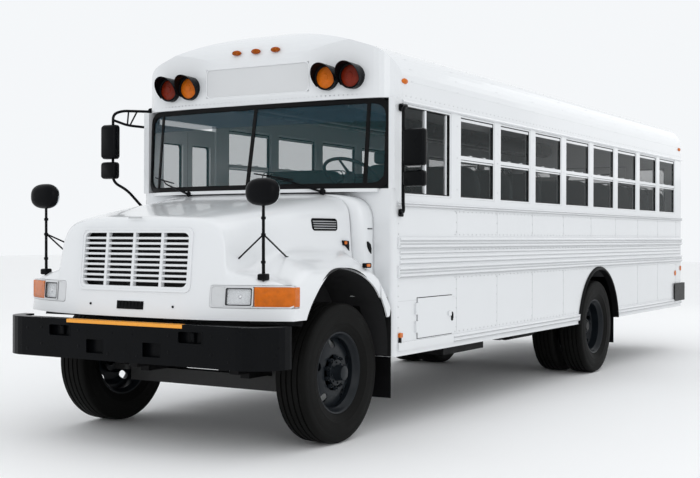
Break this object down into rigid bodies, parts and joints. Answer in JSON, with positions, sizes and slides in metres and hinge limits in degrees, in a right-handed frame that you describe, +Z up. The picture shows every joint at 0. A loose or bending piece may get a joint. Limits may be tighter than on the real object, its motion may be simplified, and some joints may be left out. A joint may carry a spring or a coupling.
{
  "type": "school bus",
  "caption": "Conventional school bus with a tilting hood, steered front wheels, twin rear wheels, a two-leaf entry door and a rear emergency door.",
  "frame": {"origin": "middle of the length and width, on the ground under the tyres", "axes": "+Z up, +Y to the rear of the bus, so the nose faces -Y, +X to the driver's (left) side"},
  "size_m": [2.993, 9.59, 3.08],
  "materials": {
    "white_paint": "gloss white enamel",
    "black_paint": "satin black",
    "chassis_black": "matt black undercoat",
    "cast_iron": "rough cast",
    "aluminium": "satin anodised",
    "glass": "tinted",
    "rubber": "matt",
    "tyre": "matt tread rubber",
    "rim_paint": "dark grey enamel",
    "seat_vinyl": "embossed vinyl",
    "floor_rubber": "ribbed",
    "interior_plastic": "grained",
    "lamp_red": "ribbed lens",
    "lamp_amber": "ribbed lens",
    "lamp_clear": "ribbed lens over a reflector",
    "steel": "aluminised"
  },
  "bodies": {
    "bus": {"chassis_frame": "chassis_black", "front_axle": "cast_iron", "rear_axle": "cast_iron", "leaf_springs": "chassis_black", "engine": "cast_iron", "drive_shaft": "chassis_black", "tanks": "chassis_black", "exhaust": "steel", "front_bumper": "black_paint", "rear_bumper": "black_paint", "floor": "floor_rubber", "wheel_houses": "floor_rubber", "entry_steps": "floor_rubber", "left_side": "white_paint", "right_side": "white_paint", "battery_box": "chassis_black", "roof": "white_paint", "front_cap": "white_paint", "rear_wall": "white_paint", "front_panel": "white_paint", "cowl": "white_paint", "windshield": "glass", "windshield_seal": "rubber", "window_glass": "glass", "window_sashes": "aluminium", "seat_cushions": "seat_vinyl", "seat_backs": "seat_vinyl", "seat_legs": "chassis_black", "driver_seat": "seat_vinyl", "dashboard": "interior_plastic", "warning_lamps": "lamp_red", "marker_lamps": "lamp_amber", "tail_lamps": "lamp_red", "left_mirror": "black_paint", "right_mirror": "black_paint", "mud_flaps": "rubber"},
    "hood": {"hood": "white_paint", "grille": "white_paint", "headlamps": "lamp_clear", "crossview_mirrors": "black_paint"},
    "left_knuckle": {"left_knuckle": "cast_iron"},
    "right_knuckle": {"right_knuckle": "cast_iron"},
    "front_left_wheel": {"front_left_tyre": "tyre", "front_left_rim": "rim_paint"},
    "front_right_wheel": {"front_right_tyre": "tyre", "front_right_rim": "rim_paint"},
    "rear_left_wheels": {"rear_left_tyres": "tyre", "rear_left_rims": "rim_paint"},
    "rear_right_wheels": {"rear_right_tyres": "tyre", "rear_right_rims": "rim_paint"},
    "steering_wheel": {"steering_wheel": "interior_plastic"},
    "entry_front_leaf": {"entry_front_leaf": "white_paint", "entry_front_glass": "glass"},
    "entry_rear_leaf": {"entry_rear_leaf": "white_paint", "entry_rear_glass": "glass"},
    "rear_door": {"rear_door": "white_paint", "rear_door_glass": "glass"},
    "battery_door": {"battery_door": "white_paint"}
  },
  "joints": [
    {"name": "hood_tilt", "type": "hinge", "parent": "bus", "child": "hood", "pos_m": [0, -4.725, 0.74], "axis": [1, 0, 0], "range_deg": [0, 60]},
    {"name": "left_steer", "type": "hinge", "parent": "bus", "child": "left_knuckle", "pos_m": [0.87, -3.765, 0.497], "axis": [0, 0, 1], "range_deg": [-35, 35]},
    {"name": "right_steer", "type": "hinge", "parent": "bus", "child": "right_knuckle", "pos_m": [-0.87, -3.765, 0.497], "axis": [0, 0, 1], "range_deg": [-35, 35]},
    {"name": "front_left_spin", "type": "hinge", "parent": "left_knuckle", "child": "front_left_wheel", "pos_m": [1.003, -3.765, 0.497], "axis": [1, 0, 0], "continuous": true},
    {"name": "front_right_spin", "type": "hinge", "parent": "right_knuckle", "child": "front_right_wheel", "pos_m": [-1.003, -3.765, 0.497], "axis": [1, 0, 0], "continuous": true},
    {"name": "rear_left_spin", "type": "hinge", "parent": "bus", "child": "rear_left_wheels", "pos_m": [0.913, 1.425, 0.497], "axis": [1, 0, 0], "continuous": true},
    {"name": "rear_right_spin", "type": "hinge", "parent": "bus", "child": "rear_right_wheels", "pos_m": [-0.913, 1.425, 0.497], "axis": [1, 0, 0], "continuous": true},
    {"name": "steering_turn", "type": "hinge", "parent": "bus", "child": "steering_wheel", "pos_m": [0.56, -2.715, 1.96], "axis": [0, 0.5299, 0.848], "range_deg": [-525, 525]},
    {"name": "entry_front_swing", "type": "hinge", "parent": "bus", "child": "entry_front_leaf", "pos_m": [-1.223, -3.024, 0], "axis": [0, 0, 1], "range_deg": [0, 88]},
    {"name": "entry_rear_swing", "type": "hinge", "parent": "bus", "child": "entry_rear_leaf", "pos_m": [-1.223, -2.246, 0], "axis": [0, 0, 1], "range_deg": [-88, 0]},
    {"name": "rear_door_swing", "type": "hinge", "parent": "bus", "child": "rear_door", "pos_m": [-0.474, 4.684, 0], "axis": [0, 0, 1], "range_deg": [0, 110]},
    {"name": "battery_door_swing", "type": "hinge", "parent": "bus", "child": "battery_door", "pos_m": [1.231, -2.813, 0], "axis": [0, 0, -1], "range_deg": [0, 115]}
  ],
  "couplings": [
    {"joint": "right_steer", "follows": "left_steer", "ratio": 1},
    {"joint": "steering_turn", "follows": "left_steer", "ratio": 15},
    {"joint": "entry_rear_swing", "follows": "entry_front_swing", "ratio": -1}
  ]
}
